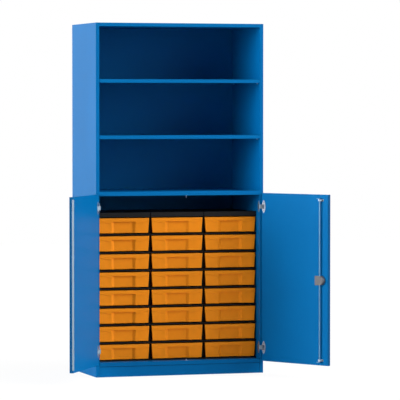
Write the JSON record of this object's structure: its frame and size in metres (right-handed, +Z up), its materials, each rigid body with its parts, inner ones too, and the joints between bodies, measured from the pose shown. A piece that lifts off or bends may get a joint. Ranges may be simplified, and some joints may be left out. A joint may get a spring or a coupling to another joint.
{
  "type": "parts bin cabinet",
  "caption": "Tall blue cabinet with open shelves above and, behind two hinged doors with a rod lock, racks of pull-out plastic bins.",
  "frame": {"origin": "on the floor, at the middle of the plinth board's underside, which is midway between the side panels and 11.5 mm behind their front edges", "axes": "+X to the right seen from the front, +Y to the back, +Z up"},
  "size_m": [1.4441, 0.9188, 1.9],
  "materials": {
    "blue_board": "satin blue laminate",
    "blue_side": "satin blue laminate",
    "orange_plastic": "moulded, satin",
    "rack_black": "fine-grained",
    "zinc_steel": "nickel-plated",
    "bright_aluminium": "natural anodised",
    "beech": "bare"
  },
  "bodies": {
    "cabinet": {"left_side": "blue_side", "right_side": "blue_side", "top_panel": "blue_board", "fixed_shelf": "blue_board", "bottom_panel": "blue_board", "back_panel": "blue_board", "plinth": "blue_board", "upper_shelf": "blue_board", "lower_shelf": "blue_board", "shelf_pins": "zinc_steel", "dowels": "beech", "catch_studs": "zinc_steel", "rack_wall_1": "rack_black", "rack_wall_2": "rack_black", "rack_wall_3": "rack_black", "rack_wall_4": "rack_black", "rack_bars": "rack_black", "rack_covers": "rack_black", "side_wings": "zinc_steel", "side_wing_screws": "zinc_steel", "hinge_arms": "zinc_steel", "hinge_pins": "zinc_steel"},
    "left_door": {"left_door": "blue_board", "left_door_wings": "zinc_steel", "left_wing_screws": "zinc_steel", "meeting_strip": "bright_aluminium"},
    "right_door": {"right_door": "blue_board", "right_door_wings": "zinc_steel", "right_wing_screws": "zinc_steel", "lock_case": "zinc_steel", "escutcheon": "zinc_steel", "rod_guides": "zinc_steel", "lock_screws": "zinc_steel"},
    "rod": {"lock_rod": "bright_aluminium"},
    "knob": {"turn_knob": "zinc_steel", "key_cylinder": "zinc_steel"},
    "bin_1_1": {"bin_1_1": "orange_plastic"},
    "bin_1_2": {"bin_1_2": "orange_plastic"},
    "bin_1_3": {"bin_1_3": "orange_plastic"},
    "bin_1_4": {"bin_1_4": "orange_plastic"},
    "bin_1_5": {"bin_1_5": "orange_plastic"},
    "bin_1_6": {"bin_1_6": "orange_plastic"},
    "bin_1_7": {"bin_1_7": "orange_plastic"},
    "bin_1_8": {"bin_1_8": "orange_plastic"},
    "bin_2_1": {"bin_2_1": "orange_plastic"},
    "bin_2_2": {"bin_2_2": "orange_plastic"},
    "bin_2_3": {"bin_2_3": "orange_plastic"},
    "bin_2_4": {"bin_2_4": "orange_plastic"},
    "bin_2_5": {"bin_2_5": "orange_plastic"},
    "bin_2_6": {"bin_2_6": "orange_plastic"},
    "bin_2_7": {"bin_2_7": "orange_plastic"},
    "bin_2_8": {"bin_2_8": "orange_plastic"},
    "bin_3_1": {"bin_3_1": "orange_plastic"},
    "bin_3_2": {"bin_3_2": "orange_plastic"},
    "bin_3_3": {"bin_3_3": "orange_plastic"},
    "bin_3_4": {"bin_3_4": "orange_plastic"},
    "bin_3_5": {"bin_3_5": "orange_plastic"},
    "bin_3_6": {"bin_3_6": "orange_plastic"},
    "bin_3_7": {"bin_3_7": "orange_plastic"},
    "bin_3_8": {"bin_3_8": "orange_plastic"}
  },
  "joints": [
    {"name": "right_door_swing", "type": "hinge", "parent": "cabinet", "child": "right_door", "pos_m": [0.468, -0.0205, 0.525], "axis": [0, 0, 1], "range_deg": [-120, 0]},
    {"name": "left_door_swing", "type": "hinge", "parent": "cabinet", "child": "left_door", "pos_m": [-0.468, -0.0205, 0.525], "axis": [0, 0, -1], "range_deg": [-122, 0]},
    {"name": "knob_turn", "type": "hinge", "parent": "right_door", "child": "knob", "pos_m": [0.68764, -0.37693, 0.522], "axis": [0.866, 0.5, 0], "range_deg": [-90, 0]},
    {"name": "rod_turn", "type": "hinge", "parent": "right_door", "child": "rod", "pos_m": [0.6608, -0.39243, 0.522], "axis": [0, 0, -1], "range_deg": [-90.01, 0.01]},
    {"name": "bin_1_1_slide", "type": "slide", "parent": "cabinet", "child": "bin_1_1", "axis": [0, -1, 0], "range_m": [0, 0.36]},
    {"name": "bin_1_2_slide", "type": "slide", "parent": "cabinet", "child": "bin_1_2", "axis": [0, -1, 0], "range_m": [0, 0.36]},
    {"name": "bin_1_3_slide", "type": "slide", "parent": "cabinet", "child": "bin_1_3", "axis": [0, -1, 0], "range_m": [0, 0.36]},
    {"name": "bin_1_4_slide", "type": "slide", "parent": "cabinet", "child": "bin_1_4", "axis": [0, -1, 0], "range_m": [0, 0.36]},
    {"name": "bin_1_5_slide", "type": "slide", "parent": "cabinet", "child": "bin_1_5", "axis": [0, -1, 0], "range_m": [0, 0.36]},
    {"name": "bin_1_6_slide", "type": "slide", "parent": "cabinet", "child": "bin_1_6", "axis": [0, -1, 0], "range_m": [0, 0.36]},
    {"name": "bin_1_7_slide", "type": "slide", "parent": "cabinet", "child": "bin_1_7", "axis": [0, -1, 0], "range_m": [0, 0.36]},
    {"name": "bin_1_8_slide", "type": "slide", "parent": "cabinet", "child": "bin_1_8", "axis": [0, -1, 0], "range_m": [0, 0.36]},
    {"name": "bin_2_1_slide", "type": "slide", "parent": "cabinet", "child": "bin_2_1", "axis": [0, -1, 0], "range_m": [0, 0.36]},
    {"name": "bin_2_2_slide", "type": "slide", "parent": "cabinet", "child": "bin_2_2", "axis": [0, -1, 0], "range_m": [0, 0.36]},
    {"name": "bin_2_3_slide", "type": "slide", "parent": "cabinet", "child": "bin_2_3", "axis": [0, -1, 0], "range_m": [0, 0.36]},
    {"name": "bin_2_4_slide", "type": "slide", "parent": "cabinet", "child": "bin_2_4", "axis": [0, -1, 0], "range_m": [0, 0.36]},
    {"name": "bin_2_5_slide", "type": "slide", "parent": "cabinet", "child": "bin_2_5", "axis": [0, -1, 0], "range_m": [0, 0.36]},
    {"name": "bin_2_6_slide", "type": "slide", "parent": "cabinet", "child": "bin_2_6", "axis": [0, -1, 0], "range_m": [0, 0.36]},
    {"name": "bin_2_7_slide", "type": "slide", "parent": "cabinet", "child": "bin_2_7", "axis": [0, -1, 0], "range_m": [0, 0.36]},
    {"name": "bin_2_8_slide", "type": "slide", "parent": "cabinet", "child": "bin_2_8", "axis": [0, -1, 0], "range_m": [0, 0.36]},
    {"name": "bin_3_1_slide", "type": "slide", "parent": "cabinet", "child": "bin_3_1", "axis": [0, -1, 0], "range_m": [0, 0.36]},
    {"name": "bin_3_2_slide", "type": "slide", "parent": "cabinet", "child": "bin_3_2", "axis": [0, -1, 0], "range_m": [0, 0.36]},
    {"name": "bin_3_3_slide", "type": "slide", "parent": "cabinet", "child": "bin_3_3", "axis": [0, -1, 0], "range_m": [0, 0.36]},
    {"name": "bin_3_4_slide", "type": "slide", "parent": "cabinet", "child": "bin_3_4", "axis": [0, -1, 0], "range_m": [0, 0.36]},
    {"name": "bin_3_5_slide", "type": "slide", "parent": "cabinet", "child": "bin_3_5", "axis": [0, -1, 0], "range_m": [0, 0.36]},
    {"name": "bin_3_6_slide", "type": "slide", "parent": "cabinet", "child": "bin_3_6", "axis": [0, -1, 0], "range_m": [0, 0.36]},
    {"name": "bin_3_7_slide", "type": "slide", "parent": "cabinet", "child": "bin_3_7", "axis": [0, -1, 0], "range_m": [0, 0.36]},
    {"name": "bin_3_8_slide", "type": "slide", "parent": "cabinet", "child": "bin_3_8", "axis": [0, -1, 0], "range_m": [0, 0.36]}
  ],
  "couplings": [
    {"joint": "rod_turn", "follows": "knob_turn", "ratio": 1}
  ]
}
